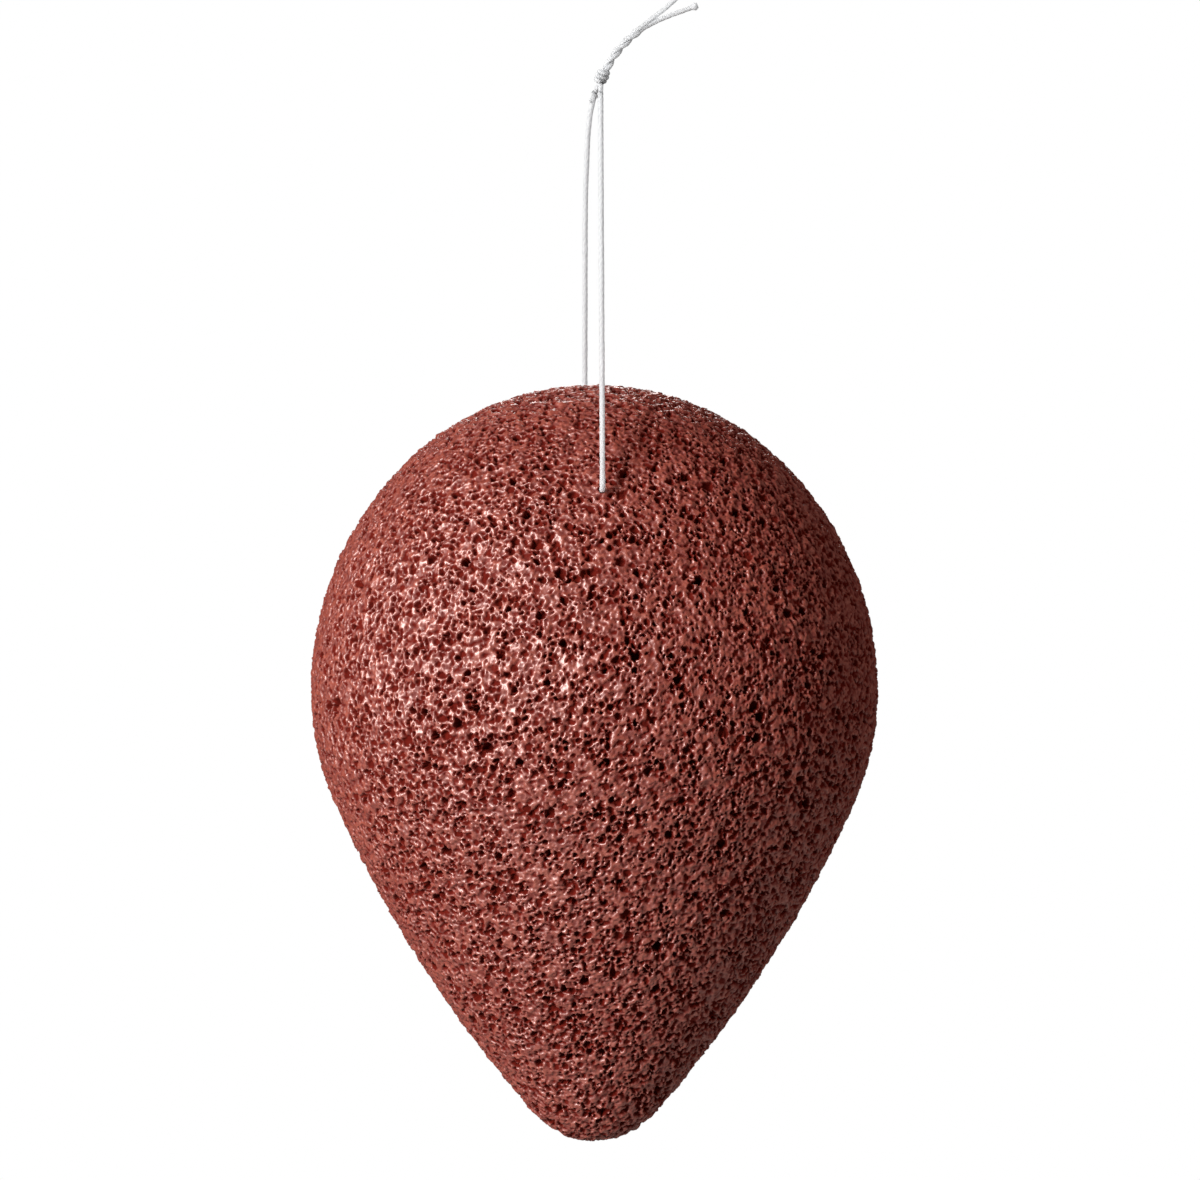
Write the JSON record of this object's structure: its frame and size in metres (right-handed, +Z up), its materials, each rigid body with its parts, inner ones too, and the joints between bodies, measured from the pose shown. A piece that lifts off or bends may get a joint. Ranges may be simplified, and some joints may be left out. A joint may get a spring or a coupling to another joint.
{
  "type": "konjac sponge",
  "caption": "Drop-shaped porous konjac face sponge, brick red, hung tip down on a knotted loop of white cotton string threaded through its rounded upper end.",
  "frame": {"origin": "the fork under the knot, where a hook holds the loop of string and the part hangs", "axes": "+Z up along the loop, +X to the right and -Y to the front of the sponge, as the picture shows it"},
  "size_m": [0.06, 0.045, 0.1217],
  "materials": {
    "konjac_foam": "open-cell foam, dry and slightly glossy on the cell walls",
    "cotton_string": "twisted matt cotton"
  },
  "bodies": {
    "knot": {"knot": "cotton_string", "tail_long": "cotton_string", "tail_short": "cotton_string"},
    "loop": {"front_strand": "cotton_string", "rear_strand": "cotton_string", "string_through": "cotton_string"},
    "sponge": {"sponge": "konjac_foam"}
  },
  "joints": [
    {"name": "loop_twist", "type": "hinge", "parent": "knot", "child": "loop", "pos_m": [0, 0, 0], "axis": [0, 0, 1], "range_deg": [-180, 180]},
    {"name": "sponge_swing", "type": "hinge", "parent": "loop", "child": "sponge", "pos_m": [-0.00071, 0, -0.0426], "axis": [-0.0536, 0.9986, 0], "range_deg": [-45, 45]}
  ]
}
